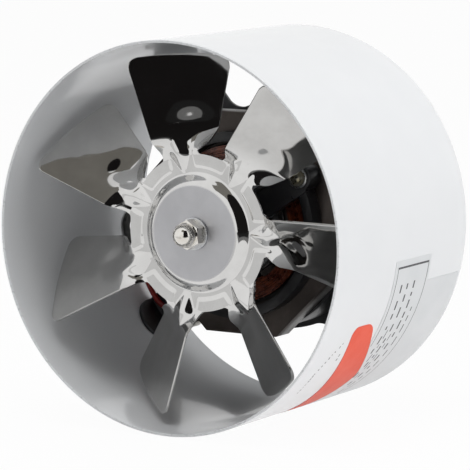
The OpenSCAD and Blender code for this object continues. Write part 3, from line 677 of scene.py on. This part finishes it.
yellow_zinc = mottled("yellow_zinc", (0.36, 0.33, 0.24), 0.3, 1.0, grain=(0.5, 3.0),
                      tones=((0.26, 0.235, 0.16), (0.25, 0.245, 0.22)), wear=(1.4, 3.0, 0.18, 0.25))
zinc = mottled("bright_zinc", (0.55, 0.56, 0.57), 0.28, 1.0, grain=(0.6, 4.0),
               tones=((0.5, 0.51, 0.53), (0.62, 0.62, 0.61)), wear=(1.8, 3.0, 0.15, 0.3))
on_bolts("motor_screws", *screw_parts(), yellow_zinc, "screw", "through_bolts")
flat_washer = turned(eased([
    (BOLT_R + WASHER_PLAY, BOLT_SEAT), (WASHER_OUT, BOLT_SEAT),
    (WASHER_OUT, HEAD_SEAT), (BOLT_R + WASHER_PLAY, HEAD_SEAT)], 0.2, 2), 48)
on_bolts("screw_washers", *flat_washer, zinc, "steel", "bolt_washers")
nut_piece = softened("bolt_nuts", "screw_nuts", 0.25, zinc)
fit_piece(nut_piece, "stator", "steel", "bolt_nuts")


# Inner works: steel shaft in two sintered bushes, laminated rotor with cast end rings, coil ends
# in the closed cup, fibre rings and spring plates. Their CAD solids are right and get a finish.
def speckled(name, dark, light, roughness, metallic, scale, slot_nodes):
    """A simple mottled finish for CAD solids that are only glimpsed."""
    material, wire, shader = new_finish(name, light, roughness, metallic)
    spot = place(wire)
    mottle = noise(wire, spot, scale, 4.0, 0.6)
    mottle.over(0.3, 0.72).tint(dark, light).to(shader, "Base Color")
    (mottle * 0.25 + (roughness - 0.12)).to(shader, "Roughness")
    for node in slot_nodes:
        nodes[node].data.materials.clear()
        nodes[node].data.materials.append(material)
        nodes[node].data.shade_smooth()
        nodes[node].data.set_sharp_from_angle(angle=math.radians(32))
    return material


speckled("ground_steel", (0.42, 0.42, 0.43), (0.56, 0.56, 0.57), 0.25, 1.0, 1.2,
         ["shaft", "impeller_collar", "front_bush_retainer", "rear_bush_retainer"])
speckled("sintered_bronze", (0.32, 0.2, 0.1), (0.5, 0.34, 0.18), 0.45, 0.8, 2.5, ["front_bush", "rear_bush"])
speckled("cast_aluminium", (0.48, 0.48, 0.5), (0.62, 0.63, 0.64), 0.42, 1.0, 0.8, ["rotor_cage"])
speckled("rotor_sheets", (0.1, 0.09, 0.085), (0.22, 0.2, 0.19), 0.45, 0.6, 0.6, ["rotor_core"])
speckled("fibre_board", (0.018, 0.016, 0.015), (0.05, 0.045, 0.04), 0.7, 0.0, 0.7,
         ["front_insulator", "rear_insulator"])
speckled("slot_copper", (0.13, 0.025, 0.01), (0.36, 0.09, 0.03), 0.4, 0.3, 0.5, ["rear_winding"])
nylon = speckled("natural_nylon", (0.6, 0.58, 0.52), (0.72, 0.7, 0.65), 0.5, 0.0, 0.4, ["thrust_washers"])


# Impeller: seven blades, necks, ribs and the raised hub are all pressed from one polished steel
# sheet. Each neck twists from the web into a pitched blade; a rib stiffens its bend, and the
# pressing leaves a shallow dip at the blade's root.
SHEET = 0.9
BLADES = 7
BLADE_START = 104.4
HUB_FRONT = 29.5
BORE_R = 3.05
PLATEAU_EDGE = 18.3
PLATEAU_RISE = 2.8
STEP_STRAIGHT = 0.3
BASE_R = 22.8
WEB_R = 30.0
WEB_LEAN = 0.15 * math.tan(math.radians(12.5))
BLADE_LEAN = math.tan(math.radians(9.3))
BLADE_PITCH = math.tan(math.radians(38.8))
TWIST_START = 28.8
TWIST_END = 38.0
TIP_R = 69.5
TIP_LEAN = 3.5
TIP_CORNER = 3.5
LEAD_OFFSET = 7.0
LEAD_FOOT = 1.3
LEAD_FOOT_SPAN = (27.5, 32.5)
TRAIL_NECK = 7.2
TRAIL_FOOT = 1.0
TRAIL_FOOT_SPAN = (27.0, 29.5)
TRAIL_ROOT = 11.6
TRAIL_FLARE = 0.39
FLARE_START = 29.2
FLARE_END = 33.2
FLARE_LAP = 1.0
RIB_RISE = 2.9
RIB_SLOPE = 0.6
RIB_CREST = 0.7
RIB_FOOT = 0.25
RIB_ROUND = 0.16
RIB_FADE = 8.0
RIB_SPAN = (22.2, 31.0, 38.0)
PANEL_RISE = 0.4
PANEL_START = (24.5, 26.0)
PANEL_SIDE = (4.6, 6.2)
PANEL_END = (31.0, 36.0)
ROOT_DIP = 1.15
DIP_AT = (41.0, -5.5)
DIP_REACH = 5.0
CUT_EDGE = 0.14


def lead_side(u):
    """Distance of the leading edge from the blade's centre line."""
    return LEAD_OFFSET + LEAD_FOOT * (1 - ramp(*LEAD_FOOT_SPAN, u))


def trail_side(u):
    """Distance of the trailing edge, which flares out behind the neck."""
    wide = TRAIL_ROOT + TRAIL_FLARE * np.maximum(0.0, u - FLARE_END + FLARE_LAP)
    neck = TRAIL_NECK + TRAIL_FOOT * (1 - ramp(*TRAIL_FOOT_SPAN, u))
    return neck + (wide - neck) * ramp(FLARE_START, FLARE_END, u)


def sheet_height(u, v):
    """Height of the sheet's middle over the plane of the wheel."""
    r = np.hypot(u, v)
    top = HUB_FRONT - SHEET / 2
    drop = np.clip((r - PLATEAU_EDGE) / (BASE_R - PLATEAU_EDGE), 0, 1)
    slope = STEP_STRAIGHT * drop + (1 - STEP_STRAIGHT) * ramp(0, 1, drop)
    panel = ramp(*PANEL_START, r) * ramp(*PANEL_SIDE, np.abs(v)) * (1 - ramp(*PANEL_END, r))
    web = top - PLATEAU_RISE * slope + np.maximum(0, r - BASE_R) * WEB_LEAN + PANEL_RISE * panel
    from_dip = ((u - DIP_AT[0]) ** 2 + (v - DIP_AT[1]) ** 2) / DIP_REACH ** 2
    lift = top - PLATEAU_RISE + (u - BASE_R) * BLADE_LEAN
    blade = lift + v * BLADE_PITCH - ROOT_DIP * np.exp(-from_dip)
    turn = ramp(TWIST_START, TWIST_END, u)
    start, peak, end = RIB_SPAN
    rise, fall = (u - start) / (peak - start), (end - u) / (end - peak)
    tent = np.clip((rise + fall) / 2 - np.sqrt((rise - fall) ** 2 / 4 + RIB_ROUND ** 2), 0, 1)
    crest = np.sqrt(v * v + RIB_CREST ** 2) - RIB_CREST
    flank = RIB_RISE * tent - RIB_SLOPE * crest - RIB_FOOT
    rib = (flank + np.sqrt(flank * flank + RIB_FOOT ** 2)) / 2 * np.minimum(1, RIB_FADE * tent)
    return web * (1 - turn) + blade * turn + rib


def tip_reach(v, v0, v1):
    """How far out the sheet goes at lateral place v, with rounded tip corners."""
    share = (v - v0) / (v1 - v0)
    arc = np.sqrt((TIP_R - TIP_LEAN * (1 - share)) ** 2 - v * v)
    d = np.minimum(np.minimum(v - v0, v1 - v), TIP_CORNER)
    return arc - (TIP_CORNER - np.sqrt(np.maximum(0.0, TIP_CORNER ** 2 - (TIP_CORNER - d) ** 2)))


def grid_faces(rows, columns):
    return [(i * columns + j, (i + 1) * columns + j, (i + 1) * columns + j + 1, i * columns + j + 1)
            for i in range(rows - 1) for j in range(columns - 1)]


def patch(u, v):
    """Points and faces of the sheet's middle over a grid of places."""
    flat = np.stack([u.ravel(), v.ravel(), sheet_height(u, v).ravel()], 1)
    return flat, grid_faces(*u.shape)


def blade_sector():
    """One seventh of the wheel: hub, web, half a notch on each side, neck, rib and blade."""
    inner, rows, blade_rows, columns, side_columns = 28.5, 10, 46, 45, 12
    half = math.pi / BLADES
    share = 0.5 - 0.5 * np.cos(np.linspace(0, math.pi, columns))
    share = 0.45 * share + 0.55 * np.linspace(0, 1, columns)
    lead_top, trail_top = 31.2, 31.0

    def edge(r, side):
        u = r.copy()
        for _ in range(8):
            v = lead_side(u) if side > 0 else trail_side(u)
            u = np.sqrt(r * r - v * v)
        return np.arctan2(side * v, u)

    k = np.arange(rows + 1) / rows
    r_lead, r_trail = inner + (lead_top - inner) * k, inner + (trail_top - inner) * k
    a_lead, a_trail = edge(r_lead, 1), edge(r_trail, -1)
    parts = []

    # Neck rows up to the ends of the notches
    r = r_trail[:, None] + (r_lead - r_trail)[:, None] * share[None]
    a = a_trail[:, None] + (a_lead - a_trail)[:, None] * share[None]
    neck_u, neck_v = r * np.cos(a), r * np.sin(a)
    parts.append(patch(neck_u, neck_v))

    # Blade rows from there to the tip
    s_u, s_v = neck_u[-1], neck_v[-1]
    v0, v1 = -trail_side(np.array(TIP_R - 2 * TIP_CORNER)), LEAD_OFFSET
    v_tip = v0 + (v1 - v0) * share
    u_tip = tip_reach(v_tip, v0, v1)
    t = np.linspace(0, 1, blade_rows)[:, None] ** 1.25
    u = s_u[None] + (u_tip - s_u)[None] * t

    def spread(q):
        return -trail_side(q) + (lead_side(q) + trail_side(q)) * share[None]

    v = spread(u) + (s_v[None] - spread(s_u[None])) * (1 - t) ** 4
    parts.append(patch(u, v))

    # Half notches: the web's edge curves up into the sides of the neck
    c = np.linspace(0, 1, side_columns)[None]
    for r_edge, a_edge, side, bend in ((r_lead, a_lead, 1, 0.4), (r_trail, a_trail, -1, 0.3)):
        curl = 1 - np.sqrt(np.maximum(0, 1 - (1 - np.minimum(c / bend, 1)) ** 2))
        end = WEB_R + (r_edge[-1] - WEB_R) * curl
        r = inner + k[:, None] * (end - inner)
        a = a_edge[:, None] + (side * half - a_edge)[:, None] * c
        parts.append(patch(r * np.cos(a), r * np.sin(a)))

    # Hub and web inside the notches
    a = np.concatenate([
        np.linspace(-half, a_trail[0], side_columns)[:-1],
        a_trail[0] + (a_lead[0] - a_trail[0]) * share,
        np.linspace(a_lead[0], half, side_columns)[1:]])[None]
    rings = np.concatenate([[BORE_R, 4, 7, 10, 13, 16, 17.6], np.linspace(18.1, 23.4, 20),
                            np.linspace(23.8, inner, 16)])[:, None]
    parts.append(patch(rings * np.cos(a), rings * np.sin(a)))
    return joined(parts)


def sheet_solid(points, faces):
    """Gives the sheet's middle its thickness, square to the surface, and closes the cut edges."""
    spots, index = np.unique(np.round(points, 4), axis=0, return_inverse=True)
    index = index.ravel()
    u, v = spots.T[:2]
    near = 0.02
    slope_u = (sheet_height(u + near, v) - sheet_height(u - near, v)) / (2 * near)
    slope_v = (sheet_height(u, v + near) - sheet_height(u, v - near)) / (2 * near)
    normal = np.stack([-slope_u, -slope_v, np.ones_like(u)], 1)
    normal *= SHEET / 2 / np.linalg.norm(normal, axis=1)[:, None]
    front = []
    for face in faces:
        ring = [index[i] for i in face]
        ring = [i for n, i in enumerate(ring) if i != ring[n - 1]]
        area = sum(u[i] * v[ring[n - 1]] - u[ring[n - 1]] * v[i] for n, i in enumerate(ring))
        front.append(ring if area < 0 else ring[::-1])
    sides = {(f[n - 1], f[n]) for f in front for n in range(len(f))}
    back = len(spots)
    angle = np.arctan2(v, u)
    on_seam = np.abs(angle) > math.pi / BLADES - 1e-4
    closed = [tuple(f) for f in front] + [tuple(i + back for i in reversed(f)) for f in front]
    for a, b in sides:
        if (b, a) not in sides and not (on_seam[a] and on_seam[b] and angle[a] * angle[b] > 0):
            closed.append((a, a + back, b + back, b))
    return np.concatenate([spots + normal, spots - normal]), closed


polished, wire, shader = new_finish("polished_sheet_steel", (0.74, 0.735, 0.72), 0.06, 1.0)
spot = place(wire)
_, radius = about_axis(wire, spot)
SATIN_RING = ((4.6, 5.4), (17.6, 18.6))
# From these radii in mm outward the blades get a darker tone: painted shade.
BLADE_SHADE_FROM = (33.0, 42.0)
satin = radius.over(*SATIN_RING[0]) * (1.0 - radius.over(*SATIN_RING[1]))
smear = noise(wire, spot, 0.07, 4.0, 0.6)
grain = noise(wire, spot, 3.5, 2.0)
drift = smear.over(0.3, 0.75)
# One polished steel in lit and shaded tones: the web's tone is painted lighter for brighter highlights
# (painted highlight), and the blades' tone from 33 to 42 mm out is painted darker so that what they mirror
# comes out darker (painted shade).
web = drift.tint((0.61, 0.605, 0.595), (0.68, 0.675, 0.665))
shaded_blade_tone = drift.tint((0.48, 0.475, 0.465), (0.55, 0.545, 0.535))
dull = drift.tint((0.44, 0.44, 0.455), (0.5, 0.5, 0.515))
satin.tint(radius.over(*BLADE_SHADE_FROM).tint(web, shaded_blade_tone), dull).to(shader, "Base Color")
(satin * 0.33 + smear.over(0.45, 0.8) * 0.05 + grain * 0.03 + 0.035).to(shader, "Roughness")
bump(wire, noise(wire, spot, 0.09, 1.0) + grain * (satin * 0.02), 0.12, 0.0012, shader)

impeller_piece = piece_from("impeller_wheel", *sheet_solid(*blade_sector()), polished, 60.0)
ring_of(impeller_piece, ring_tree("impeller_ring", polished), BLADES, BLADE_START)
edge_round = impeller_piece.modifiers.new("cut_edges", "BEVEL")
edge_round.width = CUT_EDGE * MM
edge_round.segments = 2
edge_round.limit_method = "ANGLE"
edge_round.angle_limit = math.radians(60)
made_plain(impeller_piece, polished, 50.0)
fit_piece(impeller_piece, "rotor", "impeller", "impeller")


# Cap nut and washer: a nickel-plated domed M6 nut with a chamfered hexagon holds the impeller
# on the shaft's thread, over a flat washer.
WASHER_R = 6.25
WASHER_BORE = 3.15
NUT_SEAT = 30.5
NUT_FLATS = 10.0
HEX_H = 4.5
HEX_BEVEL = 1.75
DOME_R = 4.5
DOME_SEAT = 36.2

washer_piece = piece_from("nut_washer_ring", *turned(eased([
    (WASHER_BORE, HUB_FRONT), (WASHER_R, HUB_FRONT),
    (WASHER_R, NUT_SEAT), (WASHER_BORE, NUT_SEAT)], 0.22, 3), 96), zinc)
fit_piece(washer_piece, "rotor", "steel", "nut_washer")

nickel = mottled("nickel_plate", (0.72, 0.7, 0.66), 0.08, 1.0, grain=(0.4, 3.0),
                 tones=((0.68, 0.65, 0.6), (0.75, 0.735, 0.7)), wear=(1.5, 4.0, 0.04, 0.08))
AROUND = 192
angles = np.arange(AROUND) * 2 * math.pi / AROUND
hexagon = NUT_FLATS / 2 / np.cos((angles + math.pi / 6) % (math.pi / 3) - math.pi / 6)
nut_rings = [(BORE_R, 0.0)]
for h in np.concatenate([np.linspace(0, 0.8, 8), np.linspace(1.2, 3.1, 4), np.linspace(3.3, HEX_H, 12)]):
    bevel = NUT_FLATS / 2 + 0.02 + HEX_BEVEL * min(HEX_H - h, h + 0.1)
    nut_rings.append((np.minimum(hexagon, bevel), h))
nut_rings += [(DOME_R + 0.25, HEX_H + 0.01), (DOME_R, HEX_H + 0.25)]
for q in np.linspace(0, math.pi / 2, 24):
    nut_rings.append((DOME_R * max(math.cos(q), 0.004), DOME_SEAT - NUT_SEAT + DOME_R * math.sin(q)))
nut_points = np.concatenate([
    np.stack([r * np.cos(angles), r * np.sin(angles), np.full(AROUND, NUT_SEAT + h)], 1)
    for r, h in nut_rings])
nut_top = (len(nut_rings) - 1) * AROUND
nut_faces = ring_faces(len(nut_rings), AROUND)
nut_faces += [tuple(range(nut_top, nut_top + AROUND)), tuple(reversed(range(AROUND)))]
cap_nut = piece_from("cap_nut", nut_points, nut_faces, nickel, 28.0)
fit_piece(cap_nut, "rotor", "nut", "acorn_nut")


# Leads: the motor's two red wires leave the cup, lie along the lower left bracket leg under a
# nylon strap and end in crimped caps beside the bushed cable hole in the tube's wall.
LEAD_LEG = 220.0
LEAD_R = 1.1
LEAD_SIDE = 2.1
LEAD_STOPS = [
    (38.8, 0, -27.0), (43.81, 0, -27.0), (48.68, 0, -28.675), (53.09, 0, -32.025), (57.5, 0, -33.7),
    (61.25, 0, -33.7), (64.0, -1.5, -33.7), (66.45, -5.5, -33.7), (67.0, -10, -33.7), (67.0, -13, -33.7)]
LEAD_STRAIGHT = 5.0


def lead_route(side, steps=8):
    """Centre line of one lead, to one side of the route through the stops."""
    reach, degrees, height = np.array(LEAD_STOPS).T
    angle = np.radians(LEAD_LEG + degrees)
    stops = np.stack([reach * np.cos(angle), reach * np.sin(angle), height], 1)
    padded = np.concatenate([stops[:1], stops, stops[-1:]])
    line = []
    for i in range(1, len(padded) - 2):
        p0, p1, p2, p3 = padded[i - 1:i + 3]
        for t in np.arange(steps) / steps:
            line.append(0.5 * (2 * p1 + (p2 - p0) * t + (2 * p0 - 5 * p1 + 4 * p2 - p3) * t * t
                               + (3 * p1 - p0 - 3 * p2 + p3) * t ** 3))
    last = stops[-1] - stops[-2]
    line += [stops[-1], stops[-1] + last / np.linalg.norm(last) * LEAD_STRAIGHT]
    line = np.array(line)
    along = np.gradient(line, axis=0)
    across = np.cross(along, FAN_AXIS)
    return line + side * across / np.linalg.norm(across, axis=1)[:, None]


red_lead = mottled("red_insulation", (0.3, 0.02, 0.015), 0.35, 0.0, grain=(0.6, 3.0),
                   tones=((0.24, 0.014, 0.012), (0.38, 0.03, 0.02)), wear=(1.1, 2.0, 0.25, 0.2))
leads_piece = piece_from("motor_leads", *joined([
    tube_along(lead_route(side), LEAD_R, 14) for side in (-LEAD_SIDE, LEAD_SIDE)]), red_lead, 50.0)
fit_piece(leads_piece, "stator", "lead", "lead_wires")
strap_piece = softened("lead_tie", "lead_strap", 0.3, nylon)
fit_piece(strap_piece, "stator", "nylon", "lead_tie")
speckled("crimp_nylon", (0.62, 0.6, 0.55), (0.75, 0.73, 0.69), 0.45, 0.0, 0.6, ["splice_caps"])

rubber, wire, shader = new_finish("black_rubber", (0.02, 0.02, 0.02), 0.65)
spot = place(wire)
scuffs = noise(wire, spot, 0.8, 4.0).over(0.35, 0.75)
scuffs.tint((0.014, 0.014, 0.014), (0.045, 0.044, 0.043)).to(shader, "Base Color")
(noise(wire, spot, 1.5, 3.0) * 0.25 + 0.5).to(shader, "Roughness")
bump(wire, noise(wire, spot, 3.0, 2.0), 0.15, 0.0002, shader)
grommet_piece = softened("cable_grommet", "cable_bush", 0.35, rubber, segments=3)
fit_piece(grommet_piece, "stator", "rubber", "cable_grommet")


# Stickers: a pale printed film on the tube's right side with a thin dark frame and rows of plain
# ruled dashes, and a rounded red film let into it. Its lower part runs on to the motor end as a grey
# sheet of painted shade, where the tube's lower right lies in shade.
# Two rows of tiny dashes are printed on the paint in front of the red film.
STICKER_LIFT = 0.012
STICKER_T = 0.11
INK_LIFT = STICKER_LIFT + STICKER_T + 0.002
INK_T = 0.012
RED_MID = -46.5
RED_HIGH = 27.72
RED_SPREAD = 22.0
RED_CIRCLES = ((22.5, -24.72, 3.0), (16.0, -19.72, 8.0), (5.0, 4.0, 11.0), (3.5, 19.72, 8.0))
circle = np.linspace(0, 2 * math.pi, 73)
RED_POINTS = np.concatenate([
    np.stack([x + r * np.cos(circle), y + r * np.sin(circle)], 1) for x, y, r in RED_CIRCLES])


def red_span(degrees):
    """Front and rear end of the red film along the tube at an angle round it."""
    limit = RED_HIGH - 1e-3
    level = np.clip(CASING_R * math.sin(math.radians(RED_MID - degrees)), -limit, limit)
    low, high = RED_POINTS[RED_POINTS[:, 1] <= level], RED_POINTS[RED_POINTS[:, 1] >= level]
    rise = np.maximum(high[None, :, 1] - low[:, None, 1], 1e-9)
    across = low[:, None, 0] + (level - low[:, None, 1]) / rise * (high[None, :, 0] - low[:, None, 0])
    return -across.max(), -across.min()


def wall_patch(span, top, bottom, lift, thick, pitch=1.0):
    """A thin patch on the outside of the tube; span(degrees) gives its front and rear end."""
    steps = max(2, int(abs(top - bottom) / pitch))
    share = 0.5 - 0.5 * np.cos(np.linspace(0, math.pi, steps + 1))
    inside, outside = CASING_R + lift, CASING_R + lift + thick
    points = []
    for angle in bottom + (top - bottom) * share:
        a = math.radians(angle)
        front, rear = span(angle)
        points += [(r * math.cos(a), r * math.sin(a), -along) for r, along in (
            (inside, front), (inside, rear), (outside, rear), (outside, front))]
    ends = [(0, 1, 2, 3), tuple(steps * 4 + j for j in (3, 2, 1, 0))]
    return np.array(points), ring_faces(steps + 1, 4) + ends


film = mottled("pale_label_film", (0.72, 0.74, 0.76), 0.35, 0.0, grain=(0.06, 3.0),
               tones=((0.7, 0.72, 0.735), (0.74, 0.755, 0.77)), wear=(0.5, 3.0, 0.25, 0.15),
               Coat_Weight=0.3, Coat_Roughness=0.2)
LABEL = (-5.5, 22.5)
LABEL_TOP, SHADE_SHEET_TOP, LABEL_END = -6.5, -14.5, -72.5
SHADE_SHEET_REAR = 48.5
SLIT = 0.3


def label_span(degrees):
    """The label's ends at an angle, its front cut back behind the red film."""
    if abs(degrees - RED_MID) < RED_SPREAD:
        return max(LABEL[0], red_span(degrees)[1] + SLIT), LABEL[1]
    return LABEL


# The second patch, behind the label and down to the motor end, is a grey sheet of painted shade.
label_piece = piece_from("label_film", *joined([
    wall_patch(label_span, LABEL_TOP, LABEL_END, STICKER_LIFT, STICKER_T),
    wall_patch(lambda degrees: (LABEL[1], SHADE_SHEET_REAR), SHADE_SHEET_TOP, LABEL_END, STICKER_LIFT, STICKER_T)]), film)
fit_piece(label_piece, "stator", "label", "label_sheet")

red_film = mottled("red_label_film", (0.9, 0.1, 0.05), 0.5, 0.0, grain=(0.08, 3.0),
                   tones=((0.9, 0.1, 0.045), (0.94, 0.13, 0.07)), wear=(0.5, 3.0, 0.4, 0.15),
                   Specular_IOR_Level=0.25)
red_piece = piece_from("red_field", *wall_patch(
    red_span, RED_MID + RED_SPREAD, RED_MID - RED_SPREAD, STICKER_LIFT, STICKER_T, 0.7), red_film)
fit_piece(red_piece, "stator", "stripe", "label_stripe")

ink, wire, shader = new_finish("dark_ink", (0.05, 0.05, 0.055), 0.45)
spot = place(wire)
faded = noise(wire, spot, 1.2, 3.0).over(0.35, 0.75)
faded.tint((0.03, 0.03, 0.034), (0.1, 0.1, 0.105)).to(shader, "Base Color")
FRAME_FRONT, FRAME_REAR = -3.4, 21.0
FRAME_TOP, FRAME_END = -8.3, -70.0
LINE = 0.35
LINE_DEGREES = math.degrees(LINE / CASING_R)


def ink_bar(front, rear, top, bottom, lift=INK_LIFT):
    return wall_patch(lambda degrees: (front, rear), top, bottom, lift, INK_T)


prints = [ink_bar(FRAME_FRONT, FRAME_REAR, FRAME_TOP, FRAME_TOP - 2.2 * LINE_DEGREES),
          ink_bar(FRAME_FRONT + 10.0, FRAME_REAR, FRAME_END + LINE_DEGREES, FRAME_END),
          ink_bar(FRAME_FRONT, FRAME_FRONT + LINE, FRAME_TOP, -34.0),
          ink_bar(FRAME_REAR - LINE, FRAME_REAR, FRAME_TOP, FRAME_END)]
dashes = np.random.default_rng(7)
for along, bold, start, end in (
        (1.3, 1.0, -14.0, -37.0), (6.0, 1.0, -14.0, -47.0), (11.2, 1.0, -13.6, -54.0),
        (15.8, 0.7, -22.5, -60.0), (3.7, 0.5, -29.0, -42.0), (8.6, 0.5, -31.0, -50.0)):
    angle = start
    while angle > end:
        length = dashes.uniform(1.2, 3.4)
        prints.append(ink_bar(along, along + bold, angle, angle - length))
        angle -= length + dashes.uniform(0.9, 2.6)
PAINT_LIFT = 0.002
for turns, places in (((29.0, 33.0, 38.6, 47.5), (-30.0, -34.6, -38.1, -37.8)),
                      ((33.4, 36.4), (-27.4, -27.2))):
    angle = turns[0]
    while angle < turns[-1]:
        length = dashes.uniform(0.35, 0.9)
        along = np.interp(angle, turns, places)
        bold = dashes.uniform(0.35, 0.8)
        prints.append(ink_bar(along, along + bold, -angle, -angle - length, PAINT_LIFT))
        angle += length + dashes.uniform(0.35, 1.1)
print_piece = piece_from("label_print", *joined(prints), ink)
fit_piece(print_piece, "stator", "label")
